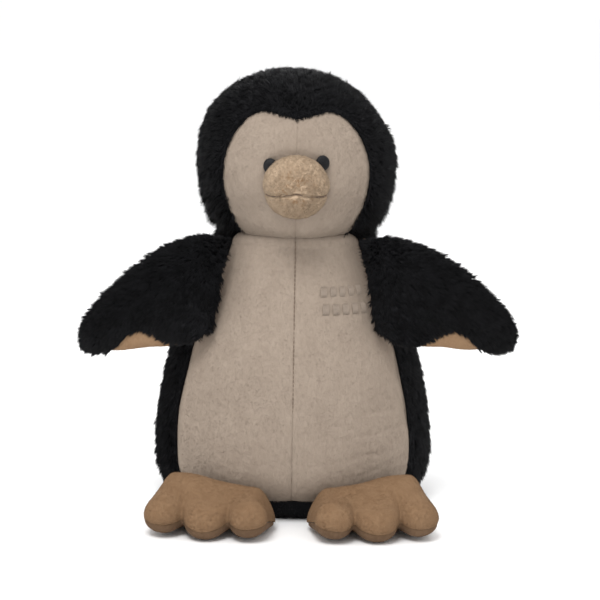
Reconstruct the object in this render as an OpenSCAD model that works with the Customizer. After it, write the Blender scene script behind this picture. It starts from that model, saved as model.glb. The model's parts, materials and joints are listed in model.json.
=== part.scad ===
// Stuffed penguin, standing. The toy faces -Y, +Z is up and +X is the toy's own left.
// The origin is the centre of the flat base on the floor.

/* [Torso] */
// Width of the torso at its widest
torso_w = 186; // [174:1:194]
// Reach of the belly in front of the origin
belly_d = 82; // [76:1:88]
// Reach of the back behind the origin
back_d = 68; // [58:1:76]
// Height of the shoulders, where the head sits
neck_h = 188; // [184:1:192]

/* [Head] */
// Width of the head
head_w = 130; // [124:1:136]
// Height of the centre of the head
head_z = 236; // [234:1:240]
// Radius of the head, front to back and up and down
head_r = 61; // [60:0.5:62]
// Radius of the ball-shaped beak
beak_r = 20.5; // [18:0.5:22]
// Radius of each embroidered eye
eye_r = 4.8; // [4:0.2:5.4]
// Distance of each eye from the middle of the face
eye_x = 17.5; // [17:0.5:20]

/* [Wings] */
// Reach of a wing tip from the middle of the toy
wing_reach = 150; // [140:1:158]
// Greatest thickness of a wing
wing_t = 22; // [16:1:24]

/* [Feet] */
// Distance of each foot from the middle of the toy
foot_x = 51; // [50:1:54]
// Width of a foot across its three toes
foot_w = 83; // [76:1:85]
// Length of a foot from its root to the middle toe
foot_l = 58; // [50:1:60]
// Height of a foot at its root
foot_h = 33; // [28:1:35]
// Turn of each foot outwards, in degrees
foot_splay = 9; // [6:1:12]

/* [Fabric] */
// Thickness of the pile fabric panels
cloth = 3; // [2:0.5:3.5]
// Space between neighbouring pieces
gap = 0.25; // [0.2:0.05:0.35]

/* [Hidden] */

black = [0.08, 0.08, 0.09];
cream = [0.80, 0.73, 0.66];
tan = [0.68, 0.55, 0.40];
brown = [0.42, 0.32, 0.24];
thread = [0.62, 0.52, 0.44];
stuffing = [0.93, 0.93, 0.91];

// ---- Curves and grids -------------------------------------------------------------------------

// Evenly spaced numbers from a to b, n steps
function steps(a, b, n) = [for (i = [0:n]) a + (b - a) * i / n];

// Smooth (Catmull-Rom) curve through the points p, for t from 0 to 1
function curve(p, t) =
    let (n = len(p) - 1,
         s = min(max(t, 0), 0.999999) * n,
         i = floor(s),
         f = s - i,
         p0 = p[max(i - 1, 0)],
         p1 = p[i],
         p2 = p[i + 1],
         p3 = p[min(i + 2, n)])
    0.5 * (2 * p1 + (p2 - p0) * f + (2 * p0 - 5 * p1 + 4 * p2 - p3) * f * f
           + (3 * p1 - p0 - 3 * p2 + p3) * f * f * f);

function unit(v) = v / norm(v);

// Direction a fraction f of the way along the arc from direction a to direction b
function arc_between(a, b, f) =
    let (angle = acos(max(min(a * b, 1), -1)))
    angle < 0.01 ? a : (a * sin((1 - f) * angle) + b * sin(f * angle)) / sin(angle);

// Two triangles for each cell of a grid whose rows are n points long, starting at point k
function cell_faces(k, rows, n) =
    [for (i = [0:rows - 2], j = [0:n - 2], half = [0, 1])
        let (a = k + i * n + j, b = a + 1, c = a + n, d = c + 1)
        half == 0 ? [a, c, b] : [b, c, d]];

function turned(faces) = [for (f = faces) [f[2], f[1], f[0]]];

// A wall between two matching lists of point numbers
function wall(p, q) =
    [for (i = [0:len(p) - 2], half = [0, 1])
        half == 0 ? [p[i], q[i], p[i + 1]] : [p[i + 1], q[i], q[i + 1]]];

// A panel of cloth: the grid outer and the grid inner behind it, closed by walls all round
module panel(outer, inner, flip = false) {
    rows = len(outer);
    n = len(outer[0]);
    k = rows * n;
    first_row = [for (j = [0:n - 1]) j];
    last_row = [for (j = [0:n - 1]) (rows - 1) * n + j];
    first_end = [for (i = [0:rows - 1]) i * n];
    last_end = [for (i = [0:rows - 1]) i * n + n - 1];
    faces = concat(
        cell_faces(0, rows, n),
        turned(cell_faces(k, rows, n)),
        turned(wall(first_row, [for (p = first_row) p + k])),
        wall(last_row, [for (p = last_row) p + k]),
        wall(first_end, [for (p = first_end) p + k]),
        turned(wall(last_end, [for (p = last_end) p + k])));
    points = [for (row = concat(outer, inner), p = row) p];
    polyhedron(points, flip ? turned(faces) : faces, convexity = 6);
}

// A closed solid through a list of closed rings, with a point before the first and after the last
module rings(list, start, end, flip = false) {
    rows = len(list);
    n = len(list[0]);
    points = concat([start], [for (row = list, p = row) p], [end]);
    last = len(points) - 1;
    sides = [for (i = [0:rows - 2], j = [0:n - 1], half = [0, 1])
        let (a = 1 + i * n + j, b = 1 + i * n + (j + 1) % n, c = a + n, d = b + n)
        half == 0 ? [a, c, b] : [b, c, d]];
    first_cap = [for (j = [0:n - 1]) [0, 1 + j, 1 + (j + 1) % n]];
    k = 1 + (rows - 1) * n;
    last_cap = [for (j = [0:n - 1]) [last, k + (j + 1) % n, k + j]];
    faces = concat(first_cap, sides, last_cap);
    polyhedron(points, flip ? turned(faces) : faces, convexity = 6);
}

// ---- Torso --------------------------------------------------------------------------------------

// Half width, front reach and back reach at nine even heights from the base to the shoulders, as
// shares of torso_w / 2, belly_d and back_d
torso_profile = [
    [0.87, 0.83, 0.86],
    [0.985, 0.97, 0.98],
    [1.00, 1.00, 1.00],
    [0.975, 0.985, 0.99],
    [0.925, 0.95, 0.96],
    [0.855, 0.885, 0.90],
    [0.745, 0.79, 0.83],
    [0.63, 0.685, 0.75],
    [0.53, 0.58, 0.66]];
// Angle of the belly's side seam from straight ahead, at the same heights
side_seam = [46, 55, 58.5, 59, 58, 56, 54, 52, 51];
// Share of the height where the belly and back panels start and end
panel_foot = 0.08;
panel_top = 0.99;
thread_w = 1.2;
// Height of the top of the bead pouch
pouch_h = 36;
// Space between the panels and the stuffing behind them
fill_gap = 1.2;

// Point on the torso at share h of its height and at angle a from straight ahead, towards +X,
// k inside the surface
function torso_point(h, a, k = 0) =
    let (q = curve(torso_profile, h),
         rx = torso_w / 2 * q[0] - k,
         ry = (cos(a) > 0 ? belly_d * q[1] : back_d * q[2]) - k)
    [rx * sin(a), -ry * cos(a), max(neck_h * h, k)];

// Angle that a width w takes up on the torso at share h and angle a
function width_angle(h, a, w) = w / norm(torso_point(h, a + 0.5) - torso_point(h, a - 0.5));

function seam_at(h) = curve(side_seam, h);

panel_levels = steps(panel_foot, panel_top, 16);

function belly_row(h, side, k) =
    [for (a = steps(width_angle(h, 0, thread_w / 2 + gap), seam_at(h) - width_angle(h, 50, gap), 10))
        torso_point(h, side * a, k)];

function back_row(h, side, k) =
    [for (a = steps(seam_at(h) + width_angle(h, 50, gap), 180 - width_angle(h, 180, gap / 2), 14))
        torso_point(h, side * a, k)];

module belly_panel(side) {
    color(cream)
    panel([for (h = panel_levels) belly_row(h, side, 0)],
          [for (h = panel_levels) belly_row(h, side, cloth)], side < 0);
}

module back_panel(side) {
    color(black)
    panel([for (h = panel_levels) back_row(h, side, 0)],
          [for (h = panel_levels) back_row(h, side, cloth)], side < 0);
}

// A strip of thread down the belly's centre seam
module belly_seam_thread() {
    sunk = 0.6;
    color(thread)
    panel([for (h = panel_levels) thread_row(h, sunk)],
          [for (h = panel_levels) thread_row(h, cloth)]);
}

function thread_row(h, k) =
    let (a = width_angle(h, 0, thread_w / 2))
    [torso_point(h, -a, k), torso_point(h, a, k)];

// Two rows of raised stitches on the toy's left side of the chest
stitch_rows = 2;
stitches = 5;
stitch_w = 3.6;
stitch_pitch = 6;
stitch_len = 0.045;
stitch_first_angle = 15;
stitch_low = 0.73;
stitch_step = 0.06;

module chest_stitching() {
    color(cream)
    for (row = [0:stitch_rows - 1], i = [0:stitches - 1]) {
        low = stitch_low + row * stitch_step;
        first = stitch_first_angle + i * width_angle(low, 25, stitch_pitch);
        last = first + width_angle(low, 25, stitch_w);
        levels = steps(low, low + stitch_len, 4);
        angles = steps(first, last, 4);
        panel([for (h = levels) [for (a = angles) torso_point(h, a, -0.9)]],
              [for (h = levels) [for (a = angles) torso_point(h, a, -0.2)]]);
    }
}

ring_angles = [for (a = [0:10:350]) a];

function torso_ring(h, k) = [for (a = ring_angles) torso_point(h, a, k)];

// Flat base with a skirt that rises to the belly and back panels
module base_panel() {
    levels = steps(0, panel_foot - 0.004, 5);
    color(black)
    rings(concat([for (h = levels) torso_ring(h, 0)],
                 [for (i = [len(levels) - 1:-1:0]) torso_ring(levels[i], cloth)]),
          [0, 0, 0], [0, 0, cloth]);
}

// Torso rings inside the cloth, from height low to height high
function filling_rings(low, high, n) =
    let (k = cloth + fill_gap)
    [for (z = steps(low, high, n)) [for (p = torso_ring(z / neck_h, k)) [p[0], p[1], z]]];

module bean_bag() {
    low = cloth + gap;
    color(tan)
    rings(filling_rings(low, pouch_h, 5), [0, 0, low], [0, 0, pouch_h]);
}

// ---- Neck -----------------------------------------------------------------------------------------

head_y = -4;
// The head turns in the neck like a ball in a cup: radii of the cup's two faces
cup_inner_r = head_r + 2.4;
cup_outer_r = cup_inner_r + 6;
cup_angle = 33;

function cup_arc(r, from, to) = [for (a = steps(from, to, 12)) [r * sin(a), -r * cos(a)]];

module neck_fill() {
    color(stuffing)
    translate([0, head_y, head_z])
    rotate_extrude($fn = 96)
    polygon(concat(cup_arc(cup_outer_r, 0, cup_angle), cup_arc(cup_inner_r, cup_angle, 0)));
}

// Stuffing between the bead pouch and the neck, with a round cup in its top
module body_fill() {
    seat_r = cup_outer_r + 0.9;
    low = pouch_h + gap;
    rim = filling_rings(low, neck_h * 0.945, 12);
    top = rim[len(rim) - 1];
    bowl = [for (f = [0.96, 0.8, 0.6, 0.4, 0.2])
        [for (p = top)
            let (x = p[0] * f, y = head_y + (p[1] - head_y) * f, d = norm([x, y - head_y]))
            [x, y, head_z - sqrt(seat_r * seat_r - d * d)]]];
    color(stuffing)
    rings(concat(rim, bowl), [0, 0, low], [0, head_y, head_z - seat_r]);
}

// ---- Head -----------------------------------------------------------------------------------------

// Edge of the face from the chin corner, up the cheek and over the brow to the peak in the middle,
// as shares of the head's half width and half height
cheek_edge = [[0.52, -0.76], [0.61, -0.57], [0.69, -0.38], [0.73, -0.10], [0.70, 0.14], [0.62, 0.36],
              [0.50, 0.53]];
brow_edge = [[0, 0.52], [0.17, 0.56], [0.34, 0.60], [0.50, 0.53]];
chin_low = -0.76;

// Unit direction on the head's ball, from its x and z shares
function ball_dir(q) = [q[0], -sqrt(max(0, 1 - q[0] * q[0] - q[1] * q[1])), q[1]];

// Point of the head in direction d, k inside the surface
function head_point(d, k = 0) =
    [(head_w / 2 - k) * d[0], head_y + (head_r - k) * d[1], head_z + (head_r - k) * d[2]];

// Share of a head panel's width that its seam allowance takes up
seam_share = 0.006;

// Half of the face: s runs from the middle to the cheek, t from the chin to the brow
function face_dir(s, t) =
    let (peak = brow_edge[0],
         corner = cheek_edge[len(cheek_edge) - 1],
         chin = cheek_edge[0],
         across = [chin[0] * s, chin_low] * (1 - t) + curve(brow_edge, s) * t,
         up = [0, chin_low + (peak[1] - chin_low) * t] * (1 - s) + curve(cheek_edge, t) * s,
         corners = ([0, chin_low] * (1 - s) + chin * s) * (1 - t) + (peak * (1 - s) + corner * s) * t)
    ball_dir(across + up - corners);

module face_panel(side) {
    across = steps(seam_share, 1 - seam_share, 10);
    up = steps(0, 1 - seam_share, 12);
    color(cream)
    panel([for (t = up) [for (s = across) mirrored(head_point(face_dir(s, t)), side)]],
          [for (t = up) [for (s = across) mirrored(head_point(face_dir(s, t), cloth), side)]], side < 0);
}

function mirrored(p, side) = [side * p[0], p[1], p[2]];

// Edge of the hood round the face, from the chin corner to the peak
hood_edge = concat(cheek_edge, [brow_edge[2], brow_edge[1], brow_edge[0]]);
// Where the hood's back edge starts below the ear, passes the nape, and ends on the crown
nape_turn = 180;
ear_turn = 112;
crown_turn = 150;
nape_share = 0.4;

// Direction on the line where the neck starts, at an angle round from straight ahead
function neck_dir(turn) =
    let (r = sqrt(1 - chin_low * chin_low))
    [r * sin(turn), -r * cos(turn), chin_low];

// Direction in the middle plane, at an angle up from straight ahead and over the crown
function middle_dir(angle) = [0, -cos(angle), sin(angle)];

// Back edge of half the hood: round the neck to the nape, then up to the crown
function hood_back_dir(w) =
    let (nape = 180 - asin(chin_low),
         up = (w - nape_share) / (1 - nape_share))
    w < nape_share ? neck_dir(ear_turn + (nape_turn - ear_turn) * w / nape_share)
    : middle_dir(nape + (crown_turn - nape) * up);

function hood_dir(s, w) = arc_between(ball_dir(curve(hood_edge, w)), hood_back_dir(w), s);

module hood_panel(side) {
    back = steps(seam_share, 1, 13);
    round_face = steps(0, 1, 18);
    // Half the space left along the middle seam
    function point(s, w, k) =
        let (p = head_point(hood_dir(s, w), k)) mirrored([max(p[0], gap / 2), p[1], p[2]], side);
    color(black)
    panel([for (w = round_face) [for (s = back) point(s, w, 0)]],
          [for (w = round_face) [for (s = back) point(s, w, cloth)]], side < 0);
}

module head_fill() {
    k = cloth + fill_gap;
    color(stuffing)
    rings([for (lift = steps(-80, 80, 16))
              [for (a = ring_angles) head_point([cos(lift) * sin(a), -cos(lift) * cos(a), sin(lift)], k)]],
          head_point([0, 0, -1], k), head_point([0, 0, 1], k));
}

// The ball of the head that the beak is cut to
module head_ball() {
    translate([0, head_y, head_z]) rotate([90, 0, 0]) sphere(r = head_r + 1, $fn = 96);
}

beak_y = head_y - 64;
beak_z = head_z - 12;
beak_cloth = 2;
// The mouth runs a little below the middle of the beak
mouth_z = beak_z - 3;
mouth_w = 1.2;

module beak_ball(r) {
    translate([0, beak_y, beak_z]) rotate([90, 0, 0]) sphere(r = r, $fn = 72);
}

module half_space(z, up) {
    size = 4 * beak_r;
    translate([-size / 2, beak_y - size / 2, up ? z : z - size]) cube(size);
}

module beak_panel(up) {
    color(tan)
    difference() {
        intersection() {
            beak_ball(beak_r);
            half_space(mouth_z + (up ? mouth_w / 2 : -mouth_w / 2), up);
        }
        beak_ball(beak_r - beak_cloth);
        head_ball();
    }
}

module mouth_thread() {
    thread_r = 0.45;
    ring_r = sqrt(beak_r * beak_r - (beak_z - mouth_z) * (beak_z - mouth_z)) - thread_r;
    color(brown)
    difference() {
        translate([0, beak_y, mouth_z])
        rotate_extrude($fn = 96)
        translate([ring_r, 0])
        circle(thread_r, $fn = 24);
        head_ball();
    }
}

module beak_fill() {
    color(stuffing)
    difference() {
        beak_ball(beak_r - beak_cloth - gap);
        head_ball();
    }
}

eye_z = head_z + 3.5;
// The toy's right eye sits a little lower than its left
right_eye_drop = 2.4;

module eye(side) {
    z = side > 0 ? eye_z : eye_z - right_eye_drop;
    d = ball_dir([side * eye_x / (head_w / 2), (z - head_z) / head_r]);
    normal = unit([d[0] / head_w * 2, d[1] / head_r, d[2] / head_r]);
    dome = 1.1;
    color("black")
    difference() {
        translate(head_point(d, -gap))
        rotate([0, acos(normal[2]), atan2(normal[1], normal[0])])
        rotate_extrude($fn = 64)
        polygon([[0, 0], [eye_r, 0], [eye_r, dome * 0.3], [eye_r * 0.7, dome * 0.8], [0, dome]]);
        beak_ball(beak_r + gap);
    }
}

// ---- Wings ----------------------------------------------------------------------------------------

// Upper and lower edge of the toy's left wing from root to tip: share of wing_reach, then y and z
wing_upper = [[0.31, -40, 187], [0.40, -45, 192], [0.54, -46, 187], [0.69, -42, 172], [0.82, -37, 154],
              [0.92, -32, 136], [0.965, -29, 120]];
wing_lower = [[0.37, -59, 128], [0.44, -58, 120], [0.54, -54, 116], [0.66, -48, 114], [0.78, -42, 109],
              [0.89, -36, 106], [0.955, -31, 107]];
// Thickness from root to tip, as shares of wing_t
wing_thickness = [0.30, 0.72, 1.0, 1.0, 0.9, 0.7, 0.34];
wing_cloth = min(cloth, 2);
wing_levels = steps(0, 1, 16);
// How far the tan side reaches round the lower edge, in degrees, and where along the span it does
under_wrap = 60;
wrap_start = 0.2;
wrap_length = 0.66;

function wing_edge(list, u) = let (p = curve(list, u)) [p[0] * wing_reach, p[1], p[2]];

// Angle of the lower seam at share u of the span, from the upper edge over the front
function wing_seam(u) =
    180 - under_wrap * pow(sin(180 * min(max((u - wrap_start) / wrap_length, 0), 1)), 2);

function wing_point(u, a, k) =
    let (upper = wing_edge(wing_upper, u),
         lower = wing_edge(wing_lower, u),
         half = (upper - lower) / 2,
         span = (wing_edge(wing_upper, u + 0.02) + wing_edge(wing_lower, u + 0.02)
                 - wing_edge(wing_upper, u - 0.02) - wing_edge(wing_lower, u - 0.02)),
         front = unit(cross(span, half)),
         t = curve(wing_thickness, u) * wing_t / 2)
    (upper + lower) / 2 + half * (1 - k / norm(half)) * cos(a) + front * (t - k) * sin(a);

// Angle that half a gap takes up at an edge of the wing
function wing_gap(u) = asin(gap / (curve(wing_thickness, u) * wing_t));

module wing_panel(side, from_upper, tint) {
    function row(u, k) =
        let (g = wing_gap(u),
             from = from_upper ? g : wing_seam(u) + g,
             to = from_upper ? wing_seam(u) - g : 360 - g)
        [for (a = steps(from, to, 12)) mirrored(wing_point(u, a, k), side)];
    color(tint)
    panel([for (u = wing_levels) row(u, 0)], [for (u = wing_levels) row(u, wing_cloth)], side < 0);
}

module wing_fill(side) {
    k = wing_cloth + fill_gap;
    function middle(u) = mirrored((wing_edge(wing_upper, u) + wing_edge(wing_lower, u)) / 2, side);
    color(stuffing)
    rings([for (u = wing_levels) [for (a = [0:20:340]) mirrored(wing_point(u, a, k), side)]],
          middle(0), middle(1), side < 0);
}

// ---- Feet -----------------------------------------------------------------------------------------

foot_lift = 0.4;
foot_cloth = min(cloth, 2);
foot_hinge_y = -(belly_d + 6);
heel_r = foot_h / 2;
// Height of the root from the inner side of the foot to the outer, as shares of foot_h
heel_shares = [0.30, 0.66, 0.78, 0.86, 0.94, 1.02, 1.05, 0.93, 0.42];
heel_z = heel_r + foot_lift;
toe_r = heel_r * 0.68;
toe_z = toe_r + foot_lift;
// Middle and half width of each toe, as shares of half the foot's width, and how far it reaches
toes = [[-0.67, 0.33, 0.86], [0, 0.40, 1.0], [0.67, 0.33, 0.86]];
foot_levels = steps(-0.96, 0.96, 24);
foot_fill_levels = steps(-0.88, 0.88, 18);
// The darker sole covers the directions between these angles, from straight ahead over the top
sole_from = 203;
sole_to = 337;

// How full the valleys between the toes stay
toe_valley = 0.25;

// How full the toes are at share x of half the width: 1 at the middle toe's middle
function toe_shape(x) =
    max([for (toe = toes)
        let (d = (x - toe[0]) / toe[1])
        (abs(d) < 1 ? sqrt(1 - d * d) : toe_valley) * toe[2]]);

// A size that is full at fullness 1 and falls to the share least at fullness 0
function between(least, fullness) = least + (1 - least) * fullness;

// Point at share x of half the width, -1 on the inner side, facing angle a from straight ahead
// over the top, k inside
function foot_point(x, a, k) =
    let (full = pow(1 - x * x, 0.4),
         lobe = max(toe_shape(x), toe_valley),
         rear_r = heel_r * curve(heel_shares, (x + 1) / 2) - k,
         front_r = toe_r * between(0.42, lobe) * between(0.3, full) - k,
         reach = (foot_l - heel_r) * between(0.62, lobe) * between(0.5, full),
         d = [-cos(a), sin(a)],
         rear = [0, rear_r + k + foot_lift],
         front = [-(reach - front_r - k), toe_z * between(0.6, lobe)],
         c = front * d + front_r > rear * d + rear_r ? front + front_r * d : rear + rear_r * d)
    [x * foot_w / 2, c[0], max(c[1], foot_lift + k)];

module foot_place(side) {
    translate([side * foot_x, foot_hinge_y, 0]) rotate([0, 0, side * foot_splay]) children();
}

module foot_panel(side, from, to, tint) {
    seam_allowance = 0.6;
    angles = steps(from + seam_allowance, to - seam_allowance, 10);
    color(tint)
    foot_place(side)
    panel([for (x = foot_levels) [for (a = angles) mirrored(foot_point(x, a, 0), side)]],
          [for (x = foot_levels) [for (a = angles) mirrored(foot_point(x, a, foot_cloth), side)]],
          side > 0);
}

module foot_fill(side) {
    k = foot_cloth + fill_gap;
    end = foot_fill_levels[0] * foot_w / 2;
    end_y = -4;
    end_z = 0.55 * heel_z;
    color(stuffing)
    foot_place(side)
    rings([for (x = foot_fill_levels) [for (a = [0:20:340]) mirrored(foot_point(x, a, k), side)]],
          mirrored([end, end_y, end_z], side), mirrored([-end, end_y, end_z], side), side > 0);
}

// ---- Nodes ----------------------------------------------------------------------------------------

belly_panel(1);  // belly_left
belly_panel(-1);  // belly_right
belly_seam_thread();
chest_stitching();
back_panel(1);  // back_left
back_panel(-1);  // back_right
base_panel();
bean_bag();
body_fill();
neck_fill();
hood_panel(1);  // hood_left
hood_panel(-1);  // hood_right
face_panel(1);  // face_left
face_panel(-1);  // face_right
eye(1);  // eye_left
eye(-1);  // eye_right
beak_panel(true);  // beak_upper
beak_panel(false);  // beak_lower
mouth_thread();
beak_fill();
head_fill();
wing_panel(1, true, black);  // wing_left_top
wing_panel(1, false, tan);  // wing_left_under
wing_fill(1);  // wing_left_fill
wing_panel(-1, true, black);  // wing_right_top
wing_panel(-1, false, tan);  // wing_right_under
wing_fill(-1);  // wing_right_fill
foot_panel(1, sole_to - 360, sole_from, tan);  // foot_left_upper
foot_panel(1, sole_from, sole_to, brown);  // foot_left_sole
foot_fill(1);  // foot_left_fill
foot_panel(-1, sole_to - 360, sole_from, tan);  // foot_right_upper
foot_panel(-1, sole_from, sole_to, brown);  // foot_right_sole
foot_fill(-1);  // foot_right_fill
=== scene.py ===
import json
import math

import bpy
import numpy as np
from mathutils import Matrix, Vector
from mathutils.kdtree import KDTree


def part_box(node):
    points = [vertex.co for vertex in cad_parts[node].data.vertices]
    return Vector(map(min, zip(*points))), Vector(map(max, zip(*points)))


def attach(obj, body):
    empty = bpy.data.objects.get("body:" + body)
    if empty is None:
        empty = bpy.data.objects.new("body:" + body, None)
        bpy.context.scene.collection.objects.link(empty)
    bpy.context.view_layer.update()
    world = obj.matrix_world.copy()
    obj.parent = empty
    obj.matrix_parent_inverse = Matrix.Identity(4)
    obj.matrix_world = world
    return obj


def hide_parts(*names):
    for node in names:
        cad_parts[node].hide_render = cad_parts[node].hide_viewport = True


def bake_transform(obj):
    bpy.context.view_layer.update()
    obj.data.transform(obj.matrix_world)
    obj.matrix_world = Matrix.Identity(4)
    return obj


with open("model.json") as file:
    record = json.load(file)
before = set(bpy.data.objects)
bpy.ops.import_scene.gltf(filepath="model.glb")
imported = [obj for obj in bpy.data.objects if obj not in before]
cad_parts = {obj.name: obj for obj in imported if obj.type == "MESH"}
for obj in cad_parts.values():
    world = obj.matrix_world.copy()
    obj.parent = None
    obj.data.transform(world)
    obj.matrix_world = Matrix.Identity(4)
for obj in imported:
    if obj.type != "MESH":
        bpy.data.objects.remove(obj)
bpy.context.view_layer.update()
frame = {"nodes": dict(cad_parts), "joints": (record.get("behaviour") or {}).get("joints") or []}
nodes = frame["nodes"]
joints = {joint["name"]: joint for joint in frame["joints"]}

MM = 0.001
SIDES = {"left": 1, "right": -1}


# ---- Sizes, from the frame ----------------------------------------------------------------------

def low(node):
    return np.array(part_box(node)[0])


def high(node):
    return np.array(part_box(node)[1])


# Torso: share of its height where the belly and back panels start and end, then its reaches
PANEL_FOOT = 0.08
PANEL_TOP = 0.99
HALF_WIDTH = high("back_left")[0]
BELLY_REACH = -low("belly_left")[1]
BACK_REACH = high("back_left")[1]
NECK_HEIGHT = high("belly_left")[2] / PANEL_TOP

HEAD_CENTRE = np.array(joints["head_nod"]["pos_m"])
HEAD_HALF_WIDTH = high("hood_left")[0]
HEAD_R = high("hood_left")[2] - HEAD_CENTRE[2]

BEAK_R = high("beak_upper")[0]
BEAK_CENTRE = np.array([0, low("beak_upper")[1] + BEAK_R, high("beak_upper")[2] - BEAK_R])

# Half width, front reach and back reach at nine even heights of the torso, as shares of its own
TORSO_PROFILE = np.array([
    [0.87, 0.83, 0.86],
    [0.985, 0.97, 0.98],
    [1.00, 1.00, 1.00],
    [0.975, 0.985, 0.99],
    [0.925, 0.95, 0.96],
    [0.855, 0.885, 0.90],
    [0.745, 0.79, 0.83],
    [0.63, 0.685, 0.75],
    [0.53, 0.58, 0.66]])
# Angle of the belly's side seam from straight ahead, in degrees, at the same heights
SIDE_SEAM = np.array([[46], [55], [58.5], [59], [58], [58], [59], [60], [60]])

# Edge of the face, as shares of the head's half width and radius
CHEEK_EDGE = np.array([[0.53, -0.76], [0.64, -0.57], [0.72, -0.38], [0.76, -0.10], [0.73, 0.14],
                       [0.64, 0.36], [0.50, 0.53]])
BROW_EDGE = np.array([[0, 0.52], [0.17, 0.56], [0.34, 0.60], [0.50, 0.53]])
CHIN_LOW = -0.76

# Edges of a wing from root to tip: share of its reach, then y and z; and its thickness
WING_UPPER = np.array([[0.31, -40, 186], [0.40, -45, 188], [0.54, -46, 182], [0.69, -42, 168],
                       [0.82, -37, 151], [0.92, -32, 134.5], [0.965, -29, 119.5]])
WING_LOWER = np.array([[0.37, -59, 128], [0.44, -58, 120], [0.54, -54, 116], [0.66, -48, 114],
                       [0.78, -42, 111], [0.89, -36, 110], [0.955, -31, 111]])
WING_THICKNESS = np.array([[0.30], [0.72], [1.0], [1.0], [0.9], [0.7], [0.34]])
WING_REACH = high("wing_left_top")[0] / WING_UPPER[-1, 0]
WING_T = 22 * MM


# ---- Curves and noise -----------------------------------------------------------------------------

def curve(points, t):
    """Smooth (Catmull-Rom) curve through the rows of points, at every t from 0 to 1."""
    last = len(points) - 1
    s = np.clip(t, 0, 0.999999) * last
    i = np.floor(s).astype(int)
    f = (s - i)[..., None]
    p0 = points[np.maximum(i - 1, 0)]
    p1 = points[i]
    p2 = points[i + 1]
    p3 = points[np.minimum(i + 2, last)]
    return 0.5 * (2 * p1 + (p2 - p0) * f + (2 * p0 - 5 * p1 + 4 * p2 - p3) * f ** 2
                  + (3 * p1 - p0 - 3 * p2 + p3) * f ** 3)


def unit(v):
    return v / np.maximum(np.linalg.norm(v, axis=-1, keepdims=True), 1e-12)


def dot(a, b):
    return (a * b).sum(-1)


def sin(degrees):
    return np.sin(np.radians(degrees))


def cos(degrees):
    return np.cos(np.radians(degrees))


def smooth_step(x, start, end):
    t = np.clip((x - start) / (end - start), 0, 1)
    return t * t * (3 - 2 * t)


def bell(x, width):
    """1 where x is 0, falling to nothing a few widths away."""
    return np.exp(-(x / width) ** 2)


def lattice_value(i, j, k, seed):
    """A repeatable number from 0 to 1 for each lattice point."""
    h = (i * 374761393 + j * 668265263 + k * 2147483647 + seed * 144269) & 0xFFFFFFFF
    h = ((h ^ (h >> 13)) * 1274126177) & 0xFFFFFFFF
    h = h ^ (h >> 16)
    return (h & 0xFFFF) / 65535.0


def noise(points, scale, seed=0):
    """Smooth noise from -1 to 1 with features about scale metres wide."""
    p = points / scale + 1000.0
    cell = np.floor(p).astype(np.int64)
    f = p - cell
    f = f * f * (3 - 2 * f)
    total = np.zeros(points.shape[:-1])
    for dx in (0, 1):
        for dy in (0, 1):
            for dz in (0, 1):
                weight = (np.where(dx, f[..., 0], 1 - f[..., 0])
                          * np.where(dy, f[..., 1], 1 - f[..., 1])
                          * np.where(dz, f[..., 2], 1 - f[..., 2]))
                corner = lattice_value(cell[..., 0] + dx, cell[..., 1] + dy, cell[..., 2] + dz, seed)
                total += weight * corner
    return 2 * total - 1


def lumps(points, seed):
    """Height of soft, uneven stuffing and of the nap on it."""
    return (0.9 * MM * noise(points, 38 * MM, seed) + 0.35 * MM * noise(points, 14 * MM, seed + 1)
            + 0.12 * MM * noise(points, 3.2 * MM, seed + 2) + 0.08 * MM * noise(points, 1.4 * MM, seed + 3))


# ---- Meshes ---------------------------------------------------------------------------------------

def lattice(rows, cols):
    return np.meshgrid(rows, cols, indexing="ij")


def grid_normals(grid, centre):
    """Unit normals of a grid of points, pointing away from centre."""
    n = unit(np.cross(np.gradient(grid, axis=0), np.gradient(grid, axis=1)))
    if dot(grid - centre, n).sum() < 0:
        n = -n
    return n


def from_column(grid, column):
    """How far each point is from the point of its own row in that column."""
    return np.linalg.norm(grid - grid[:, column, None], axis=-1)


def mesh_object(name, verts, quads, tris, uvs, tint=None):
    """A mesh from arrays. uvs has a row for each corner of the quads and then of the tris."""
    mesh = bpy.data.meshes.new(name)
    loops = np.concatenate([quads.ravel(), tris.ravel()])
    starts = np.concatenate([np.arange(len(quads)) * 4, quads.size + np.arange(len(tris)) * 3])
    mesh.vertices.add(len(verts))
    mesh.vertices.foreach_set("co", np.ascontiguousarray(verts, dtype=np.float32).ravel())
    mesh.loops.add(len(loops))
    mesh.loops.foreach_set("vertex_index", loops.astype(np.int32))
    mesh.polygons.add(len(starts))
    mesh.polygons.foreach_set("loop_start", starts.astype(np.int32))
    mesh.polygons.foreach_set("use_smooth", np.ones(len(starts), dtype=bool))
    mesh.update(calc_edges=True)
    layer = mesh.uv_layers.new(name="OFBake")
    layer.uv.foreach_set("vector", np.ascontiguousarray(uvs, dtype=np.float32).ravel())
    if tint is not None:
        attribute = mesh.attributes.new("tint", "FLOAT", "POINT")
        attribute.data.foreach_set("value", np.ascontiguousarray(tint, dtype=np.float32).ravel())
    mesh.validate()
    obj = bpy.data.objects.new(name, mesh)
    bpy.context.scene.collection.objects.link(obj)
    return obj


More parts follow.
